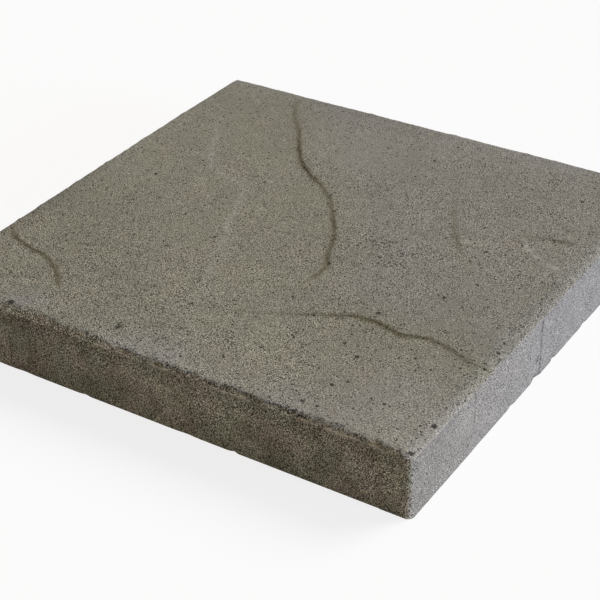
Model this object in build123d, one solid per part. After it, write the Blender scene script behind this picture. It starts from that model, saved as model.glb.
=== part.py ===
"""Precast concrete paving slab, cast in one piece: a riven upper face inside a square mould outline.

Millimetres, +Z up, origin at the centre of the base. Front is -Y, right is +X.
"""

from build123d import *
import math
import os

# Mould outline, seen from above: length along X, width along Y
slab_length = 400.0
slab_width = 400.0
corner_radius = 5.0

# Heights above the base: the mould's top edge, the mean riven face over it, the worn lower edge
arris_height = 46.6
riven_rise = 2.3
base_chamfer = 0.4

# Rolled margin between the arris and the riven face: a width for each side, wider and narrower along the
# front and back by a share of that width
margin_front = 5.5
margin_back = 4.5
margin_left = 4.5
margin_right = 11.0
margin_wander = 0.45
wander_pitch = 330.0
wander_peak = -99.0

# Broad undulation of the riven face
swell_height = 0.3
swell_pitch_x = 260.0
swell_pitch_y = 215.0

# Ledges where the split jumps from one layer to the next: step height, width of the riser, reach of the step
main_ledge_rise = 1.5
cross_ledge_rise = 1.1
corner_ledge_rise = 0.9
ridge_rise = 0.7
spur_rise = 0.5
riser_width = 1.6
ledge_reach = 55.0
ledge_taper = 24.0

# Shallow recesses that the mould's liner plates leave in the sides, between a pad at each corner
recess_depth = 0.5
recess_bevel = 1.2
pad_beside = 83.5
pad_front = 22.7
nib_length = 22.0
nib_centre = -5.0

# Spacing of the sections and of the points along each one, closer where the margin rolls over
section_pitch = 5.0
roll_pitch = 1.3
roll_width = 12.0
overrun = 3.0

half_length = slab_length / 2
half_width = slab_width / 2

# Routes of the ledges in plan, as fractions of the half length and half width.
# The higher layer lies to the left of each route.
main_route = [(-0.62, 0.93), (-0.59, 0.82), (-0.44, 0.62), (-0.29, 0.44), (-0.11, 0.31), (0.0, 0.18),
              (0.12, -0.01), (0.19, -0.18), (0.18, -0.38)]
cross_route = [(-0.14, -0.67), (0.04, -0.60), (0.18, -0.53), (0.38, -0.43), (0.53, -0.40), (0.67, -0.41),
               (0.80, -0.40), (0.98, -0.45)]
corner_route = [(-0.97, -0.52), (-0.84, -0.61), (-0.67, -0.65), (-0.56, -0.78)]
ridge_route = [(-0.11, -0.58), (-0.24, -0.18), (-0.33, 0.04), (-0.49, 0.22), (-0.67, 0.33), (-0.82, 0.67)]
spur_route = [(0.98, 0.22), (0.80, 0.29), (0.71, 0.38), (0.60, 0.62)]


def ease(t):
    """0 to 1 with level ends."""
    t = min(max(t, 0.0), 1.0)
    return t * t * (3 - 2 * t)


def ledge(x, y, route, rise):
    """Height that one ledge adds: up on its left, down on its right, fading away from the riser."""
    nearest = math.inf
    side = 0.0
    along = 0.0
    travelled = 0.0
    for (ax, ay), (bx, by) in zip(route, route[1:]):
        ax, bx = ax * half_length, bx * half_length
        ay, by = ay * half_width, by * half_width
        run = math.hypot(bx - ax, by - ay)
        ux, uy = (bx - ax) / run, (by - ay) / run
        reach = min(max((x - ax) * ux + (y - ay) * uy, 0.0), run)
        away = math.hypot(x - ax - reach * ux, y - ay - reach * uy)
        if away < nearest:
            nearest = away
            side = ux * (y - ay) - uy * (x - ax)
            along = travelled + reach
        travelled += run
    end_fade = ease(along / ledge_taper) * ease((travelled - along) / ledge_taper)
    return rise / 2 * math.tanh(math.copysign(nearest, side) / riser_width) * math.exp(-nearest / ledge_reach) * end_fade


def roll_drop(distance, margin):
    """Share of the riven rise that is lost at a distance inside one side; it runs on outside in a straight line."""
    t = distance / margin
    if t >= 1:
        return 0.0
    return (1 - t) ** 2 if t > 0 else 1 - 2 * t


def top_height(x, y):
    """Height of the riven upper face above the base."""
    rise = riven_rise
    rise += swell_height * math.sin(math.tau * x / swell_pitch_x) * math.cos(math.tau * y / swell_pitch_y)
    rise += ledge(x, y, main_route, main_ledge_rise)
    rise += ledge(x, y, cross_route, cross_ledge_rise)
    rise += ledge(x, y, corner_route, corner_ledge_rise)
    rise += ledge(x, y, ridge_route, ridge_rise)
    rise += ledge(x, y, spur_route, spur_rise)
    wander = 1 + margin_wander * math.cos(math.tau * (x - wander_peak) / wander_pitch)
    lost = roll_drop(half_width + y, margin_front * wander)
    lost += roll_drop(half_width - y, margin_back * wander)
    lost += roll_drop(half_length + x, margin_left)
    lost += roll_drop(half_length - x, margin_right)
    return arris_height + rise * (1 - lost)


def stations(half):
    """Positions across the slab: close together over the margins, even between them."""
    outer = half + overrun
    inner = half - roll_width
    roll_count = math.ceil((outer - inner) / roll_pitch)
    even_count = math.ceil(2 * inner / section_pitch)
    margin = [outer - (outer - inner) * i / roll_count for i in range(roll_count)]
    even = [-inner + 2 * inner * i / even_count for i in range(even_count + 1)]
    return [-v for v in margin] + even + margin[::-1]


def section(y):
    """Upright section across the slab at y, with the riven line on top."""
    across = stations(half_length)
    line = [(x, y, top_height(x, y)) for x in across]
    share = [(x - across[0]) / (across[-1] - across[0]) for x in across]
    riven_line = Edge.make_spline(line, parameters=share)
    low = -overrun
    corners = [line[-1], (across[-1], y, low), (across[0], y, low), line[0]]
    return Wire([riven_line] + [Edge.make_line(a, b) for a, b in zip(corners, corners[1:])])


def liner_recess(start, end):
    """Shallow recess between two points along a side, seen in plan with the side on the X axis and the slab above."""
    plan = Polyline(
        (start - recess_bevel, -1),
        (start - recess_bevel, 0),
        (start, recess_depth),
        (end, recess_depth),
        (end + recess_bevel, 0),
        (end + recess_bevel, -1),
        close=True,
    )
    return extrude(make_face(plan), arris_height + 20)


# Concrete with the riven face, wider than the mould all round
riven_block = Solid.make_loft([section(y) for y in stations(half_width)])

# Mould outline: upright sides, rounded corners and a slightly worn edge round the base
mould = extrude(Rectangle(slab_length, slab_width), arris_height + 20)
mould = fillet(mould.edges().filter_by(Axis.Z), corner_radius)
mould = chamfer(mould.faces().sort_by(Axis.Z)[0].edges(), base_chamfer)

# Liner marks: one long recess in the front and back, two in each of the other sides with a nib between them
front_reach = half_length - pad_front
side_reach = half_width - pad_beside
front_recess = liner_recess(-front_reach, front_reach)
side_recesses = [
    liner_recess(-side_reach, nib_centre - nib_length / 2),
    liner_recess(nib_centre + nib_length / 2, side_reach),
]
mould -= Pos(0, -half_width, 0) * front_recess
mould -= Pos(0, half_width, 0) * Rot(0, 0, 180) * front_recess
for recess in side_recesses:
    right_recess = Pos(half_length, 0, 0) * Rot(0, 0, 90) * recess
    mould -= right_recess
    mould -= mirror(right_recess, Plane.YZ)

slab = mould & riven_block
slab = slab.solids()[0]
slab.label = "paving_slab"

os.makedirs("parts", exist_ok=True)
export_step(slab, "parts/paving_slab.step")
box = slab.bounding_box()
print("paving_slab", box.min, box.max, "volume", round(slab.volume))
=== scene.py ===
import math

import bmesh
import bpy
import numpy as np
from mathutils import Matrix, Vector, noise


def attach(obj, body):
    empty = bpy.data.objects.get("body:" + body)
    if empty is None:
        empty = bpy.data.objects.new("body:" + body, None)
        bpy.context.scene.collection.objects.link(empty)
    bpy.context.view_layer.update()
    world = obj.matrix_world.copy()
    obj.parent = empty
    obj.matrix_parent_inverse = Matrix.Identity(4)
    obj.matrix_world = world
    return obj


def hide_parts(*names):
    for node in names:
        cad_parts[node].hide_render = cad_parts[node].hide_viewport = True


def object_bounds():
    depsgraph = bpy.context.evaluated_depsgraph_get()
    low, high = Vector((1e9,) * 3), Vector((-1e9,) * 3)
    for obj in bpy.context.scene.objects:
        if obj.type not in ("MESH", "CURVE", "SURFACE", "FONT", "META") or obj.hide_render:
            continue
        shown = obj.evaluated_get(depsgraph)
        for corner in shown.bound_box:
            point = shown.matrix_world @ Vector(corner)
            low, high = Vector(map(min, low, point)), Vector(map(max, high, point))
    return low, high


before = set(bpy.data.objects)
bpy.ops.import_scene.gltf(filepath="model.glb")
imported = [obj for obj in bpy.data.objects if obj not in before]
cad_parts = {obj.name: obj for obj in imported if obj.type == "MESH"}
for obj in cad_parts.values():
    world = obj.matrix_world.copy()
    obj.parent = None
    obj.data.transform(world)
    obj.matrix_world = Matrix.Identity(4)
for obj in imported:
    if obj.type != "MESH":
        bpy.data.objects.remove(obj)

cad_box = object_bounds()
MM = 0.001

# Camera: a long lens from above the front right corner, near enough that the left and right corners
# fall outside the square frame.
view_azimuth = math.radians(-57.206)
view_elevation = math.radians(32.292)
view_roll = math.radians(-0.898)
aim_offset = (-6.22 * MM, -10.36 * MM, 1232.0 * MM)
lens_length = 97.18
film_width = 36

back = Vector((math.cos(view_elevation) * math.cos(view_azimuth),
               math.cos(view_elevation) * math.sin(view_azimuth),
               math.sin(view_elevation)))
right = Vector((0, 0, 1)).cross(back).normalized()
up = back.cross(right)
turned_right = math.cos(view_roll) * right + math.sin(view_roll) * up
turned_up = math.cos(view_roll) * up - math.sin(view_roll) * right
camera = bpy.data.objects.new("camera", bpy.data.cameras.new("camera"))
camera.data.lens = lens_length
camera.data.sensor_width = film_width
camera.data.clip_end = 50
camera.matrix_world = Matrix((
    (turned_right.x, turned_up.x, back.x, 0),
    (turned_right.y, turned_up.y, back.y, 0),
    (turned_right.z, turned_up.z, back.z, 0),
    (0, 0, 0, 1),
))
camera.location = aim_offset[0] * turned_right + aim_offset[1] * turned_up + aim_offset[2] * back
bpy.context.scene.collection.objects.link(camera)
bpy.context.scene.camera = camera
bpy.context.scene.view_settings.view_transform = "Standard"


# Studio: a pale floor that meets a white surround, a soft key light from the back right, a low cool light
# on the right side and a weak warm surround.
class Shade:
    """A socket of the material in hand. Sums and products of shades add Math nodes."""

    tree = None

    def __init__(self, socket):
        self.socket = socket

    @classmethod
    def node(cls, kind, settings=None, sockets=None, output=0):
        made = cls.tree.nodes.new(kind)
        for name, value in (settings or {}).items():
            setattr(made, name, value)
        for name, value in (sockets or {}).items():
            if isinstance(value, Shade):
                cls.tree.links.new(value.socket, made.inputs[name])
            else:
                made.inputs[name].default_value = value
        return cls(made.outputs[output]) if made.outputs else None

    def math(self, operation, *others, clamp=False):
        sockets = dict(enumerate((self, *others)))
        return Shade.node("ShaderNodeMath", {"operation": operation, "use_clamp": clamp}, sockets)

    def __add__(self, other):
        return self.math("ADD", other)

    def __sub__(self, other):
        return self.math("SUBTRACT", other)

    def __mul__(self, other):
        return self.math("MULTIPLY", other)

    def __rsub__(self, other):
        return Shade.node("ShaderNodeMath", {"operation": "SUBTRACT"}, {0: other, 1: self})

    __radd__ = __add__
    __rmul__ = __mul__

    def split(self, channel):
        """One channel of a colour."""
        made = Shade.tree.nodes.new("ShaderNodeSeparateColor")
        Shade.tree.links.new(self.socket, made.inputs[0])
        return Shade(made.outputs[channel])

    def ramp(self, low, high):
        """0 below low, 1 above high, eased between."""
        return Shade.node(
            "ShaderNodeMapRange",
            {"interpolation_type": "SMOOTHSTEP"},
            {"Value": self, "From Min": low, "From Max": high},
        )


def start_tree(tree):
    tree.nodes.clear()
    Shade.tree = tree


def finish_tree(kind, shader):
    Shade.node(kind, None, {"Surface": shader})


surround = bpy.data.worlds.new("surround")
surround.use_nodes = True
start_tree(surround.node_tree)
seen = Shade.node("ShaderNodeLightPath", output="Is Camera Ray")
glossy = Shade.node("ShaderNodeLightPath", output="Is Glossy Ray")
fill_light = Shade.node("ShaderNodeBackground", None, {"Color": (1.0, 0.87, 0.70, 1), "Strength": 0.29})
white_sky = Shade.node("ShaderNodeBackground", None, {"Color": (1, 1, 1, 1), "Strength": 1.0})
backdrop_seen = seen.math("MAXIMUM", glossy)
sky = Shade.node("ShaderNodeMixShader", None, {0: backdrop_seen, 1: fill_light, 2: white_sky})
finish_tree("ShaderNodeOutputWorld", sky)
bpy.context.scene.world = surround

floor_half_width = 6.0
floor_bm = bmesh.new()
bmesh.ops.create_grid(floor_bm, x_segments=1, y_segments=1, size=floor_half_width)
floor = bpy.data.objects.new("floor", bpy.data.meshes.new("floor"))
floor_bm.to_mesh(floor.data)
floor_bm.free()
floor_paint = bpy.data.materials.new("floor_paint")
floor_paint.use_nodes = True
start_tree(floor_paint.node_tree)
seen = Shade.node("ShaderNodeLightPath", output="Is Camera Ray")
matt = Shade.node("ShaderNodeBsdfDiffuse", None, {"Color": (0.86, 0.86, 0.86, 1)})
white = Shade.node("ShaderNodeEmission", None, {"Color": (1, 1, 1, 1), "Strength": 1.0})
whitened = Shade.node("ShaderNodeMixShader", None, {0: seen * 0.8, 1: matt, 2: white})
finish_tree("ShaderNodeOutputMaterial", whitened)
floor.data.materials.append(floor_paint)
bpy.context.scene.collection.objects.link(floor)


def sun(name, towards, strength, spread, colour):
    lamp = bpy.data.lights.new(name, "SUN")
    lamp.energy = strength
    lamp.angle = math.radians(spread)
    lamp.color = colour
    holder = bpy.data.objects.new(name, lamp)
    holder.rotation_euler = Vector(towards).to_track_quat("Z", "Y").to_euler()
    bpy.context.scene.collection.objects.link(holder)


sun("key_light", (0.45, 0.66, 0.60), 3.1, 30, (1.0, 0.985, 0.96))
sun("side_light", (0.98, 0.03, 0.13), 3.55, 30, (0.50, 0.655, 1.0))

# The slab: one dry-cast concrete casting. The mould gives it upright sides, and a riven liner gives its
# upper face the ledges and swells of split stone. The face rolls down to the mould's edge all round.
slab_length, slab_width, slab_height = (round((high - low) / MM, 2) for low, high in zip(*cad_box))
corner_radius = 4.6
arris_height = 46.6
riven_rise = 2.3
crest_limit = slab_height - 0.01
swell_height = 0.3
swell_pitch = (260.0, 215.0)
base_chamfer = 0.1
base_border = 3.0
liner_depth = 0.25
liner_ends_x = (-177, 177)
liner_ends_y = ((-116.5, -16), (6, 116.5))
face_cells = 240
side_rings = 30

ledges = {
    # name: step height, riser width, reach, then the points in plan with the high side on the left,
    # then rows of distance along it, dark line, stain and painted highlight along the crests
    "main": (1.4, 1.1, 55, [
        (-124, 187), (-123, 178), (-116, 164), (-105.5, 150.4), (-93.5, 137), (-85.6, 124.3),
        (-77, 110.5), (-69, 99), (-58, 87), (-46.5, 77.5), (-34.5, 70), (-22.5, 61.5), (-11, 50),
        (0, 36), (9.5, 22), (18.5, 9), (25, -3), (29.5, -16), (34, -26.5), (39.5, -35.5), (40.5, -49),
        (38, -62), (36, -76),
    ], [
        (0, 0.0, 0.4, 0), (25, 0.0, 0.45, 0), (45, 0.2, 0.5, 0), (70, 0.5, 0.55, 0), (90, 0.9, 0.65, 0),
        (125, 1.0, 0.65, 0), (150, 0.8, 0.6, 0), (165, 0.3, 0.5, 0), (200, 0.4, 0.5, 0),
        (215, 0.9, 0.6, 0), (240, 0.6, 0.6, 0), (262, 0.4, 0.65, 0), (285, 0.5, 0.75, 0),
        (303, 0.1, 0.35, 0), (321, 0.0, 0.0, 0),
    ]),
    "cross": (1.1, 1.1, 55, [
        (-28, -133), (-13, -127), (9, -121), (37, -109.5), (59, -98), (77.5, -88.5), (89.5, -81.5),
        (107, -81.5), (119.5, -84), (128.5, -87), (136, -84), (147, -81), (159.5, -83), (172, -87.5),
        (186, -92), (196, -92.5),
    ], [
        (0, 0.0, 0.0, 0), (50, 0.05, 0.15, 0), (75, 0.15, 0.3, 0), (100, 0.4, 0.5, 0),
        (125, 0.8, 0.7, 0), (150, 1.0, 0.9, 0), (172, 1.0, 0.9, 0), (185, 0.6, 0.7, 0),
        (215, 0.5, 0.5, 0), (239, 0.3, 0.2, 0),
    ]),
    "corner": (0.8, 1.1, 45, [
        (-195.5, -106.5), (-183, -118), (-169.5, -124.5), (-156.5, -126.5), (-142.5, -129.5),
        (-134, -134.5), (-124, -141), (-116.5, -148.5), (-110, -155.5),
    ], [
        (0, 0.1, 0.4, 0), (20, 0.6, 0.8, 0), (35, 0.7, 0.9, 0), (55, 0.5, 0.8, 0), (80, 0.5, 0.7, 0),
        (101, 0.6, 0.9, 0),
    ]),
    "ridge": (0.7, 2.4, 50, [
        (-13, -116), (-22, -102), (-31, -84), (-37, -62), (-49, -36), (-58, -18), (-67, 9), (-76, 27),
        (-84, 37), (-98, 40), (-120, 48), (-133, 67), (-144, 84), (-151, 102), (-162, 116), (-164, 133),
    ], [
        (0, 0, 0, 0.0), (60, 0, 0, 0.3), (160, 0, 0, 0.3), (185, 0, 0, 0.6), (235, 0, 0, 0.5),
        (260, 0, 0, 0.2), (304, 0, 0, 0.0),
    ]),
    "spur": (0.5, 1.5, 40, [
        (193, 43), (184.6, 45), (174, 48), (164, 52), (154, 59), (147, 66), (141.5, 75),
    ], [
        (0, 0, 0, 0.3), (15, 0, 0, 1.2), (30, 0, 0, 0.9), (50, 0, 0, 1.3), (64, 0, 0, 0.0),
    ]),
    "band": (0.4, 3.5, 30, [
        (67, 111), (76, 93), (84, 76), (93, 58), (102, 44), (111, 34),
    ], [
        (0, 0.0, 0.2, 0), (30, 0.0, 0.35, 0), (60, 0.2, 0.5, 0), (80, 0.3, 0.6, 0), (89, 0.2, 0.5, 0),
    ]),
    "seam": (0.25, 1.2, 12, [
        (141, 74.5), (152, 79), (160, 81.5), (168, 82), (180, 84),
    ], [
        (0, 0.0, 0.2, 0), (12, 0.5, 0.4, 0), (26, 0.9, 0.5, 0), (40, 0.2, 0.2, 0),
    ]),
}
end_fade = 14
route_shake = 0.8
far_from_ledges = 15.0


def ease(t):
    t = np.clip(t, 0.0, 1.0)
    return t * t * (3 - 2 * t)


def beside_route(x, y, points):
    """Signed distance to a route, positive on its left, and the distance along it and to its end."""
    nearest = np.full(len(x), np.inf)
    side = np.zeros(len(x))
    along = np.zeros(len(x))
    travelled = 0.0
    for (ax, ay), (bx, by) in zip(points, points[1:]):
        run = math.hypot(bx - ax, by - ay)
        ux, uy = (bx - ax) / run, (by - ay) / run
        reach = np.clip((x - ax) * ux + (y - ay) * uy, 0, run)
        away = np.hypot(x - ax - reach * ux, y - ay - reach * uy)
        closer = away < nearest
        nearest = np.where(closer, away, nearest)
        side = np.where(closer, np.sign(ux * (y - ay) - uy * (x - ax)), side)
        along = np.where(closer, travelled + reach, along)
        travelled += run
    return nearest * side, along, travelled - along


def noise_at(x, y, z, size, octaves=3, seed=0.0):
    """Fractal noise between about -1 and 1, with features of the given size in millimetres."""
    return np.array([
        noise.fractal(Vector((a / size + seed, b / size, c / size)), 0.9, 2.0, octaves)
        for a, b, c in zip(x, y, z)
    ])


def profile(t, rows):
    """Value at t on a line through rows of place and value."""
    places, values = zip(*rows)
    return np.interp(t, places, values)


def spots(across, along, rows):
    """Sum of soft round spots: each row gives a centre, a radius and a strength."""
    return sum(
        strength * np.exp(-((across - centre_x) ** 2 + (along - centre_y) ** 2) / radius ** 2)
        for centre_x, centre_y, radius, strength in rows)


# Grid over the upper face, then rings pulled down from its edge: the z of each ring is its number for now
slab_bm = bmesh.new()
bmesh.ops.create_grid(slab_bm, x_segments=face_cells, y_segments=face_cells, size=1)
rim_edges = [edge for edge in slab_bm.edges if edge.is_boundary]
for ring in range(1, side_rings + 2):
    pulled = bmesh.ops.extrude_edge_only(slab_bm, edges=rim_edges)["geom"]
    for vert in pulled:
        if isinstance(vert, bmesh.types.BMVert):
            vert.co.z = -ring
    rim_edges = [edge for edge in pulled if isinstance(edge, bmesh.types.BMEdge) and edge.is_boundary]
base_face = bmesh.ops.contextual_create(slab_bm, geom=rim_edges)["faces"]
base_fan = set(bmesh.ops.poke(slab_bm, faces=base_face)["faces"])
slab_bm.verts.ensure_lookup_table()

grid_point = np.array([vert.co for vert in slab_bm.verts])
ring = np.rint(-grid_point[:, 2]).astype(int)
half = np.array((slab_length / 2, slab_width / 2))


def grid_lines(length, crowded):
    """Places of the grid's lines along one side: closer together, by a factor, round each crowded place."""
    fine_steps = np.linspace(-length / 2, length / 2, 8001)
    density = 1 + sum(
        factor * np.exp(-np.abs(fine_steps - place) / reach) for place, factor, reach in crowded)
    share = np.concatenate(([0.0], np.cumsum((density[1:] + density[:-1]) / 2)))
    return np.interp(np.linspace(0, share[-1], face_cells + 1), share, fine_steps)


# Plan position: the grid's lines crowd towards the edges and the liner's ends, and its outer squares turn
# the rounded corner
rims = [(-slab_length / 2, 4.0, 4.0), (slab_length / 2, 4.0, 4.0)]
lines_x = grid_lines(slab_length, rims + [(place, 2.0, 1.5) for place in liner_ends_x])
lines_y = grid_lines(slab_width, rims + [(place, 2.0, 1.5) for ends in liner_ends_y for place in ends])
cell = np.rint((grid_point[:, :2] + 1) / 2 * face_cells).astype(int)
spread = np.stack((lines_x[cell[:, 0]], lines_y[cell[:, 1]]), axis=1)
plan = np.abs(spread)
shell = np.maximum(plan[:, 0], plan[:, 1])
fillet_here = corner_radius * (shell / half[0]) ** 24
into_corner = np.clip((plan - (shell - fillet_here)[:, None]) / fillet_here[:, None], 0, 1)
corner_turn = np.where(into_corner[:, 1] < into_corner[:, 0], into_corner[:, 1], 2 - into_corner[:, 0])
corner_turn *= math.pi / 4
in_corner = (into_corner[:, 0] > 0) & (into_corner[:, 1] > 0)
centre_line = shell - fillet_here
rounded = np.stack((
    centre_line + fillet_here * np.cos(corner_turn),
    centre_line + fillet_here * np.sin(corner_turn),
), axis=1)
plan = np.where(in_corner[:, None], rounded, plan)
sign = np.where(spread < 0, -1.0, 1.0)
x, y = (plan * sign).T

outward = np.where(
    in_corner[:, None],
    np.stack((np.cos(corner_turn), np.sin(corner_turn)), axis=1),
    np.stack((plan[:, 0] >= plan[:, 1], plan[:, 0] < plan[:, 1]), axis=1).astype(float),
) * sign

# Height of the riven face
flat = np.zeros(len(x))
wander = noise_at(x, y, flat, 38, 2, 3.0)
shake_x = route_shake * noise_at(x, y, flat, 9, 2, 31.0)
shake_y = route_shake * noise_at(x, y, flat, 9, 2, 57.0)
rise = np.full(len(x), riven_rise)
rise += swell_height * np.sin(math.tau * x / swell_pitch[0]) * np.cos(math.tau * y / swell_pitch[1])
beside = {}
gap = np.full(len(x), far_from_ledges)
dark_line = np.zeros(len(x))
stain = np.zeros(len(x))
crest_highlight = np.zeros(len(x))
for name, (step, riser, reach, points, shows) in ledges.items():
    side, along, ahead = beside_route(x + shake_x, y + shake_y, points)
    beside[name] = side
    strength = ease(along / end_fade) * ease(ahead / end_fade)
    places, dark, stained, pale = np.transpose(shows)
    sharp = np.interp(along, places, dark)
    if dark.max() > 0:
        strength = strength * (0.5 + 0.5 * sharp)
        riser = riser * (2.2 - 1.2 * sharp)
    rise += step / 2 * np.tanh(side / riser) * np.exp(-np.abs(side) / reach) * strength
    # A painted highlight along the crests of the ledges whose rows ask for one
    crest_highlight += np.exp(-((side - 1.0) / 1.6) ** 2) * np.interp(along, places, pale)
    nearer = (np.abs(side) < np.abs(gap)) & (stained.max() > 0)
    gap = np.where(nearer, side, gap)
    dark_line = np.where(nearer, sharp, dark_line)
    stain = np.where(nearer, np.interp(along, places, stained), stain)

# The rolled margin: wide and ragged along the left half of the front, narrow along the rest of it. Each
# profile gives a place along its side and a value in millimetres
back_margin = 4.5
left_margin = 4.0
right_margin = 12.0
front_swell = 0.5
front_swell_reach = 40.0
edge_reach = 12.0
crumb_height = 0.25
right_arris_wear = 0.35
front_margin_profile = (
    (-200, 8.0), (-130, 8.5), (-95, 8.8), (-60, 8.0), (-46, 5.0), (-30, 2.7), (-10, 2.5), (20, 3.2),
    (60, 2.9), (110, 3.1), (150, 3.3), (185, 2.9), (200, 2.6))
left_rise_profile = (
    (-200, -0.5), (-110, -0.6), (-85, -0.7), (-35, -0.35), (20, -0.05), (75, 0.35), (125, 0.1),
    (170, -0.65), (200, -0.7))
back_rise_profile = (
    (-200, -0.9), (-170, -0.8), (-125, -0.75), (-75, -0.1), (-25, -0.25), (25, -0.5), (75, -0.35),
    (125, 0.1), (200, 0.1))
left_arris_profile = (
    (-200, -0.5), (-110, -0.5), (-85, -0.45), (-35, -0.35), (20, -0.2), (75, 0), (125, -0.05), (170, -0.4),
    (200, -0.5))
back_arris_profile = (
    (-200, -0.5), (-170, -0.4), (-125, -0.45), (-75, -0.2), (-25, -0.25), (25, -0.25), (75, -0.2), (125, 0),
    (200, 0))
lumps = [
    (-199.5, -27, 2.5, 0.7), (-199.5, 3, 2.0, 0.5), (-199.5, 11, 2.5, 0.7), (-199.5, -70, 3.0, 0.6),
    (-199.5, -95, 2.5, 0.7), (-199.5, 116, 3.0, 0.6), (-199.5, 60, 4.0, 0.4), (-60, 199.5, 3.0, 0.5),
    (20, 199.5, 4.0, 0.5), (110, 199.5, 3.0, 0.5)]
hollows = [(-42, -176, 3.0, 1.2), (-38, -180, 2.0, 0.6)]

inside = np.minimum(half[0] - np.abs(x), half[1] - np.abs(y))
from_front, from_back, from_left, from_right = half[1] + y, half[1] - y, half[0] + x, half[0] - x
front_margin = profile(x, front_margin_profile)
ragged = noise_at(x, y, flat, 5, 3, 17.0)
lip = np.clip(0.8 + 0.8 * noise_at(x, y, flat, 24, 2, 43.0), 0, 1.2)
lost = np.zeros(len(x))
for away, margin, roundness in (
    (from_front - lip, front_margin * (1 + 0.6 * ragged), 1.15), (from_back, back_margin, 1.6),
    (from_left, left_margin, 1.6), (from_right, right_margin, 1.55),
):
    t = np.clip(away / (margin * (1 + 0.25 * wander)), 0, 1)
    lost += (1 - t) ** roundness
rise += front_swell * np.exp(-from_front / front_swell_reach)
rise += np.exp(-from_left / edge_reach) * profile(y, left_rise_profile)
rise += np.exp(-from_back / edge_reach) * profile(x, back_rise_profile)
lump = spots(x, y, lumps)
rise += lump - spots(x, y, hollows)
crumb = noise_at(x, y, flat, 2.6, 2, 71.0)
knob = noise_at(x, y, flat, 7, 2, 83.0)
on_margin = (lost > 0.02) * ease(inside / 0.8)
grain = 0.08 * noise_at(x, y, flat, 9, 3, 11.0) + 0.12 * noise_at(x, y, flat, 30, 3, 5.0)
lost = np.clip(lost, 0, 1)
top = arris_height + rise * (1 - lost) + grain * ease(inside / 3)
top += lost * (from_left < 8) * profile(y, left_arris_profile)
top += lost * (from_back < 8) * profile(x, back_arris_profile)
top += crumb_height * (crumb + knob) * on_margin * (1 + 0.8 * (from_front < 10)) + lump * lost
top += 0.25 * (from_front < lip) * (ring == 0)
worn = ease(1 - from_right / 1.5)
top -= worn * (right_arris_wear + 0.3 * noise_at(x, y, flat, 12, 3, 29.0))
top = np.minimum(top, crest_limit)

# Sides: pads at the corners, shallow recesses between, grain, and a worn lower edge
level = np.where(ring == 0, top, 0.0)
down = np.clip((ring - 1) / (side_rings - 2), 0, 1)
arris = top - 0.5
level = np.where(ring > 0, arris + (base_chamfer - arris) * down, level)
level = np.where(ring >= side_rings, 0.0, level)


def recess(t, ends, bevel=0.6):
    start, end = ends
    return np.clip((t - start + bevel) / bevel, 0, 1) * np.clip((end + bevel - t) / bevel, 0, 1)


on_side = np.abs(outward).max(axis=1) > 0.999
along_x = np.abs(outward[:, 1]) > 0.999
sunk_y = np.maximum(recess(y, liner_ends_y[0]), recess(y, liner_ends_y[1]))
sunk = np.where(along_x, recess(x, liner_ends_x), sunk_y)
sunk = sunk * liner_depth * on_side
side_grain = 0.05 * ease(level / 4) + 0.08 * noise_at(x, y, level, 3.5, 2, 21.0)
side_grain = np.clip(side_grain + 0.06 * noise_at(x, y, level, 16, 2, 9.0), 0, 0.4)
chips = [
    (200, -22, 4.0, 1.5), (200, 6.5, 2.5, 1.2), (200, -60, 3.0, 0.7), (200, 60, 4.0, 0.8),
    (67.5, -200, 2.0, 1.3), (-56, -200, 3.0, 0.8), (30, -200, 6.0, 0.5), (-110, -200, 5.0, 0.5),
    (-200, 40, 5.0, 1.0), (90, 200, 4.0, 1.0)]
chipped = spots(x, y, chips) * ease(1 - level / 3)
inset = np.where(ring > 0, sunk + side_grain + chipped, 0.0)
inset += np.where(ring >= side_rings, base_chamfer, 0.0) + np.where(ring > side_rings, base_border, 0.0)
inset = np.where((ring == 0) & (inside < 0.01), sunk + side_grain, inset)
x = x - outward[:, 0] * inset
y = y - outward[:, 1] * inset

for vert, place in zip(slab_bm.verts, np.stack((x, y, level), axis=1) * MM):
    vert.co = place
bmesh.ops.recalc_face_normals(slab_bm, faces=slab_bm.faces)
for face in slab_bm.faces:
    face.smooth = face not in base_fan
for edge in slab_bm.edges:
    edge.smooth = not all(ring[vert.index] == side_rings for vert in edge.verts)

slab = bpy.data.objects.new("riven_slab", bpy.data.meshes.new("riven_slab"))
slab_bm.to_mesh(slab.data)
slab_bm.free()
bpy.context.scene.collection.objects.link(slab)


def paint_map(name, values, on_base=0.0):
    """Store a value at each point of the surface; the flat base has one value all over."""
    values = np.where(ring > side_rings, on_base, values)
    layer = slab.data.attributes.new(name, "FLOAT", "POINT")
    layer.data.foreach_set("value", values.astype(np.float32))


# Maps over the surface for the material: tint, ledge marks, pits, tone with painted light and shade,
# margins and sides. Each row of a list gives a place in plan, a radius and a strength
pale_patches = [
    (-14, -187, 14, 1.0), (8, -184, 12, 1.0), (-124, -190, 12, 1.0), (-110, -180, 12, 1.0),
    (100, -186, 14, 1.0)]
pit_groups = [(at_x, at_y, radius, 1.2) for at_x, at_y, radius in (
    (121, 108, 7), (126, 165, 8), (55, 12, 9), (75, -12, 8), (92, 50, 9), (130, 40, 5), (172, -78, 7),
    (160, 84, 6), (-42, -176, 5), (-60, 90, 5), (-38, 72, 5), (14, 20, 6), (3, 34, 4), (30, -150, 9),
    (96, -150, 6), (-60, -130, 10), (-150, -60, 8), (150, 118, 7),
)]
tone_spots = [
    (188, -175, 50, 0.19), (-130, -112, 42, -0.06), (-40, 135, 40, 0.11), (115, -92, 30, -0.06),
    (-100, 160, 35, -0.03), (75, -150, 45, -0.02), (-150, -60, 50, -0.09), (-60, -150, 50, -0.1),
    (185, 60, 60, 0.07), (109, 45, 3.5, 0.45), (118, 46.5, 5, 0.3), (172, -168, 3, 0.25),
    (193, -172, 2.5, 0.2), (-42, -176, 5, -0.2)]

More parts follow.
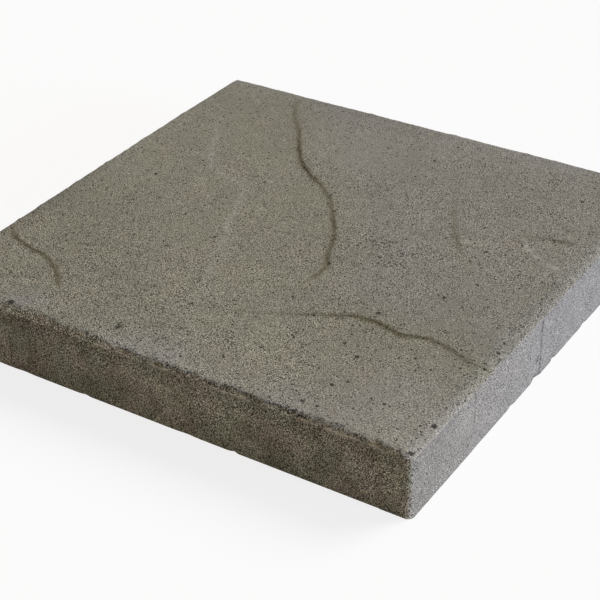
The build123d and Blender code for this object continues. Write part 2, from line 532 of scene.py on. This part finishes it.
# Buff on the lower layer of the split, greyer on the upper one and towards the edges
warm = 1 - 0.65 * ease((beside["main"] + 15) / 60) * ease((beside["cross"] + 5) / 35)
warm -= spots(x, y, [(175, -160, 50, 0.9)])
warm -= 0.7 * np.exp(-from_front / 18) * ease((x + 100) / 60)
warm = np.maximum(warm, 0.3) - np.exp(-from_back / 10) - 0.6 * np.exp(-from_left / 6)
pale_patch = spots(x, y, pale_patches)
warm -= 0.8 * pale_patch
warm = np.where(ring == 0, warm, profile(y, ((-200, 1.0), (-100, 0.6), (20, 0.0))))
paint_map("warm", np.clip(warm, 0, 1), 0.5)
paint_map("gap", gap, far_from_ledges)
paint_map("dark_line", dark_line * (ring == 0))
paint_map("stain", stain * (ring == 0))
# Pores are thickest on the upper layer, along the front and in the listed groups
pitted = 0.2 + 0.5 * ease((beside["main"] + 5) / 25)
pitted = np.maximum(pitted, 0.8 * ease((-50 - y) / 60)) + spots(x, y, [(48, -5, 45, 0.3)])
pitted = np.minimum(pitted, 1) * (1 - spots(x, y, [(185, -165, 60, 1.0)]))
paint_map("pitted", pitted + spots(x, y, pit_groups), 0.3)
paint_map("crest_highlight", crest_highlight * (ring == 0))
tone = spots(x, y, tone_spots)
bloom = np.clip(0.8 + 1.2 * noise_at(x, y, flat, 22, 2, 37.0), 0, 1.6)
tone += 0.12 * bloom * np.exp(-((from_front - 8) / 6) ** 2) * ease((x + 65) / 30)
tone += 0.04 * ease((-80 - y) / 50) * ease((x + 120) / 60) + 0.06 * pale_patch
# The front margin: painted shade darkens its wide left part, as shadow on its slope, and painted light
# brightens its narrow part against the shade on its slope
tone -= 0.44 * ease((lost - 0.15) / 0.35) * ease((10 - from_front) / 3) * ease((-38 - x) / 20)
tone += 0.18 * ease(lost / 0.5) * (from_front < 8) * ease((x + 48) / 15)
tone += 0.14 * np.exp(-from_back / 30) * ease((x + 20) / 60)
tone -= 0.26 * np.exp(-from_left / 9) * ease((10 - y) / 40)
tone = np.where(ring == 0, tone, 0.0)
# Front side: painted light at the foot, a painted shade line under the margin, and two pale patches
front_tone = profile(level, ((0, 0.12), (8, 0.10), (20, 0.0), (32, -0.06), (39, -0.28), (47, -0.28)))
front_tone += 0.20 * np.exp(-((x - 12) / 22) ** 2 - ((level - 33) / 6) ** 2)
front_tone += 0.10 * np.exp(-((x + 30) / 20) ** 2 - ((level - 26) / 7) ** 2)
front_tone += profile(
    x, ((-140, -0.17), (-115, -0.07), (-70, -0.06), (-10, 0.04), (60, 0.03), (120, -0.02), (176, -0.03)))
facing_front = ease(-outward[:, 1] * 2 - 1)
tone += front_tone * facing_front * (ring > 0)
# Left and right sides: painted shade lines in the creases at the ends of the liner plates, and a darker
# part at the near corner
facing_side = ease(np.abs(outward[:, 0]) * 2 - 1)
crease_shade_width = 1.2
crease_shade = sum(np.exp(-((y - place) / crease_shade_width) ** 2) for ends in liner_ends_y for place in ends)
crease_shade *= np.where(y < -100, profile(level, ((14, 0.0), (26, 1.9))), 1)
streaky = 0.7 + 0.6 * noise_at(flat, y, level, 7, 2, 61.0)
side_tone = -0.02 - 0.11 * np.exp(-np.maximum(46 - level, 0) / 3) - 0.45 * crease_shade * streaky
side_tone -= 0.11 * ease((-125 - y) / 40)
side_tone += 0.06 * noise_at(x, y / 1.5, level / 1.5, 14, 2, 13.0)
side_tone -= spots(y, level, [(-22, 2, 2, 0.7), (-21, 15, 2, 0.7)])
tone += side_tone * facing_side * (ring > 0)
# The rounded corners are paler than the sides
turning = np.abs(outward[:, 0] * outward[:, 1]) * 2
tone += 0.38 * turning * (ring > 0)
paint_map("tone", tone)
front_margin_part = ease((10 - from_front) / 3) * ease((from_right - 4) / 5)
front_edge = np.where(ring == 0, front_margin_part, ease((np.abs(outward[:, 1]) - 0.3) / 0.6))
paint_map("front", front_edge)
grainy = 1.0 - 0.35 * ease((y - 60) / 80) * ease((60 - x) / 60)
grainy += 0.25 * ease((-40 - y) / 60) * ease((140 - x) / 60)
grainy += 0.15 * ease((x - 40) / 60) * ease((y + 20) / 60) + spots(x, y, [(48, -5, 60, 0.25)])
paint_map("grainy", np.where(ring == 0, grainy, 0.95 + 0.3 * front_edge), 1.0)
brink = np.exp(-((from_front - front_margin * 1.1) / 2.6) ** 2) * front_edge
brink += 0.33 * np.exp(-((from_right - 9) / 4) ** 2) * (1 - front_edge)
paint_map("brink", brink * (ring == 0))
paint_map("margin", np.clip(lost, 0, 1) * (ring == 0))
# A pale fin of fines along the front arris, painted paler as well as a highlight where it catches the light
burr_and_highlight = np.clip(0.5 + 1.4 * noise_at(x, y, flat, 30, 2, 91.0), 0, 1) * ease((188 - x) / 10)
burr_and_highlight *= profile(
    x, ((-200, 0), (-50, 0), (-42, 0.5), (-36, 0.5), (-26, 0.2), (-12, 0.2), (0, 1), (200, 1)))
paint_map("burr_and_highlight", burr_and_highlight * front_edge * np.where(ring == 0, ease(1.4 - inside), 0.5 * (ring == 1)))
paint_map("side", np.where(ring > 0, 1.0, ease(1 - inside / 1.2)), 1.0)

# Concrete: grey-buff and matt, with dark pores, pale grains of sand, olive stain along the ledges and
# coarser sides
concrete = bpy.data.materials.new("concrete")
concrete.use_nodes = True
start_tree(concrete.node_tree)
straight = Shade.node("ShaderNodeTexCoord", output="Object")
# Noise is read along turned axes, so that no face of the slab lies along the noise's own grid
position = Shade.node(
    "ShaderNodeVectorRotate", None, {"Vector": straight, "Axis": (0.48, 0.71, 0.36), "Angle": 0.9})


def speckle(size, detail=2, roughness=0.6):
    return Shade.node(
        "ShaderNodeTexNoise",
        {"noise_dimensions": "3D"},
        {"Vector": position, "Scale": 1 / (size * MM), "Detail": detail, "Roughness": roughness},
    )


def cells(size, output="Distance"):
    return Shade.node(
        "ShaderNodeTexVoronoi",
        {"feature": "F1"},
        {"Vector": position, "Scale": 1 / (size * MM)},
        output,
    )


def blend(share, a, b, mode="MIX"):
    made = Shade.tree.nodes.new("ShaderNodeMix")
    made.data_type = "RGBA"
    made.blend_type = mode
    for socket, value in ((made.inputs[0], share), (made.inputs[6], a), (made.inputs[7], b)):
        if isinstance(value, Shade):
            Shade.tree.links.new(value.socket, socket)
        else:
            socket.default_value = value
    return Shade(made.outputs[2])


def srgb(r, g, b):
    return tuple(((v / 255 + 0.055) / 1.055) ** 2.4 for v in (r, g, b)) + (1,)


# Colours of the paste, the stain and the grains, the fin on the front arris (paler partly as a painted
# highlight) and the painted highlight on the ledge crests
buff_paste = srgb(125, 122, 107)
grey_paste = srgb(123, 120, 115)
cloudy_paste = srgb(119, 116, 105)
pink_paste = srgb(132, 119, 109)
brown_side = (srgb(113, 104, 88), srgb(138, 128, 113))
olive_side = (srgb(110, 106, 88), srgb(134, 130, 111))
grey_side = srgb(129, 124, 117)
buff_side = srgb(131, 125, 114)
ledge_stain = srgb(90, 82, 54)
ledge_gap = srgb(40, 34, 23)
pale_burr_and_highlight = srgb(176, 166, 145)
crest_highlight_colour = srgb(164, 161, 153)
dark_pore = srgb(40, 36, 29)
pale_sand = srgb(182, 177, 166)


def grey(value):
    return Shade.node("ShaderNodeCombineColor", None, {"Red": value, "Green": value, "Blue": value})


def mark(name):
    return Shade.node("ShaderNodeAttribute", {"attribute_name": name}, None, "Fac")


side_mark = mark("side")
margin_mark = mark("margin")
front_mark = mark("front")
patch = speckle(45, 3).ramp(0.35, 0.65)
face_colour = blend(mark("warm"), grey_paste, buff_paste)
face_colour = blend(patch * 0.5, face_colour, cloudy_paste)
pink = speckle(33, 2).ramp(0.54, 0.68)
face_colour = blend(pink * 0.15, face_colour, pink_paste)
mottle = speckle(20, 4, 0.65).ramp(0.34, 0.66)
hue = speckle(26, 3).ramp(0.40, 0.60)
front_colour = blend(hue, blend(mottle, *brown_side), blend(mottle, *olive_side))
end_colour = blend(mark("warm"), grey_side, buff_side)
side_colour = blend(front_mark, end_colour, front_colour)
front_part = margin_mark.ramp(0.1, 0.5) * front_mark
side_part = side_mark.math("MAXIMUM", front_part.math("MAXIMUM", margin_mark.ramp(0.5, 1.0) * 0.7))
rough_part = side_part * front_mark
colour = blend(side_part, face_colour, side_colour)

fine = speckle(0.8, 1, 0.5)
coarse = speckle(2.2, 2, 0.7)
busy = 0.8 + 0.4 * speckle(30, 2).ramp(0.35, 0.65)
sand_grain = (4.5 * busy * mark("grainy") + 3.3 * rough_part) * (fine - 0.5)
clumps = (0.25 * busy + 0.4 * rough_part) * (coarse - 0.5)
# The tone map scales the colour: tone, and the painted light and shade on the front margin and the sides
shade = 1 + mark("tone") + sand_grain + clumps + 0.35 * (speckle(9, 2) - 0.5)
colour = blend(1.0, colour, grey(shade.math("MAXIMUM", 0.15)), "MULTIPLY")

gap_here = mark("gap") + 1.8 * (speckle(5, 3) - 0.5) + 5.0 * (speckle(1.5, 1) - 0.5)
halo = (1 - (gap_here + 0.6).math("ABSOLUTE").ramp(0.3, 3.7)) * mark("stain")
colour = blend(halo * (0.42 + 0.6 * speckle(9, 3)), colour, ledge_stain)
core = (1 - (gap_here + 0.3).math("ABSOLUTE").ramp(0.3, 1.5)) * mark("dark_line")
core = core * speckle(1.6, 2, 0.6).ramp(0.45, 0.56)
colour = blend(core * 0.9, colour, ledge_gap)
# The fin on the front arris: pale fines, and partly a painted highlight
colour = blend(mark("burr_and_highlight") * speckle(5, 3).ramp(0.38, 0.54), colour, pale_burr_and_highlight)
# Painted highlight along the crests of some ledges
colour = blend(mark("crest_highlight") * speckle(5, 2).ramp(0.35, 0.65) * 0.7, colour, crest_highlight_colour)


def dots(size, radius, share):
    """Round spots scattered through the concrete, of which a share shows. Sizes are in millimetres."""
    chance = cells(size, "Color").split("Red") + share
    return (1 - cells(size).ramp(0.6 * radius / size, radius / size)) * chance.ramp(0.98, 1.0)


pitted_mark = mark("pitted")
crowd = speckle(25, 2).ramp(0.40, 0.62) * pitted_mark.math("MINIMUM", 1.0)
crowd = crowd * (0.25 + 1.2 * speckle(6, 2).ramp(0.50, 0.62)) + 1.2 * (pitted_mark - 1).ramp(0.0, 1.0)
on_face = 1 - 0.85 * side_part
small_pores = dots(2.1, 0.8, (0.07 + 0.5 * crowd) * on_face)
scattered_pits = dots(5.0, 1.2, (0.14 + 0.3 * crowd) * on_face) * speckle(1.2, 1).ramp(0.36, 0.46)
pore = small_pores.math("MAXIMUM", scattered_pits)

# The pits that stand out: place in plan and radius
pits = (
    (116, -124, 1.5), (101, -114, 1.3), (-41, -177, 1.7), (-124, -191, 2.2), (119, -160, 1.3),
    (112, -185, 1.5), (28, 147, 1.4), (111, 71, 1.2), (66, -7, 1.2), (-15, -128, 1.1), (2, 35, 1.1),
    (-151, 14, 1.3), (150, -106, 1.2), (128, 40, 1.5), (131, -31, 1.6), (68, -126, 1.1), (102, -72, 1.6),
    (143, -4, 1.3), (123, -185, 1.1), (126, -152, 1.1), (157, 145, 1.2), (56, -148, 1.1), (193, -72, 1.4),
    (158, -161, 1.1), (194, -93, 1.3), (-54, -44, 1.2), (39, -33, 1.2), (195, -164, 1.8), (196, -195, 1.9),
    (192, -60, 1.1))
plan_position = Shade.node("ShaderNodeVectorMath", {"operation": "MULTIPLY"}, {0: straight, 1: (1, 1, 0)})
uneven = (speckle(1.3, 1) - 0.5) * (3 * MM)
for at_x, at_y, radius in pits:
    ends = {0: plan_position, 1: (at_x * MM, at_y * MM, 0)}
    away = Shade.node("ShaderNodeVectorMath", {"operation": "DISTANCE"}, ends, "Value")
    pit = 1 - (away + uneven).ramp(0.7 * radius * MM, 1.35 * radius * MM)
    pore = pore.math("MAXIMUM", pit)
brink_mark = mark("brink")
broken = (speckle(1.5, 2, 0.7) + 0.09 * brink_mark).ramp(0.57, 0.63) * brink_mark.ramp(0.1, 0.4)
broken = broken * (0.25 + 0.75 * speckle(11, 2).ramp(0.42, 0.56))
pore = pore.math("MAXIMUM", broken.math("MINIMUM", 1.0))
colour = blend(pore * 0.93, colour, dark_pore)
sand = dots(3.0, 0.8, 0.14)
colour = blend(sand * 0.5, colour, pale_sand)
relief = fine * 0.6 + coarse * (0.4 + 0.5 * rough_part) - pore * 1.3
bumped = Shade.node("ShaderNodeBump", None, {"Strength": 0.7, "Distance": 0.6 * MM, "Height": relief})
skin = Shade.node("ShaderNodeBsdfPrincipled", None, {
    "Base Color": colour,
    "Roughness": 0.9,
    "Specular IOR Level": 0.2,
    "Normal": bumped,
})
finish_tree("ShaderNodeOutputMaterial", skin)
slab.data.materials.append(concrete)

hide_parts("paving_slab")
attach(slab, "root")
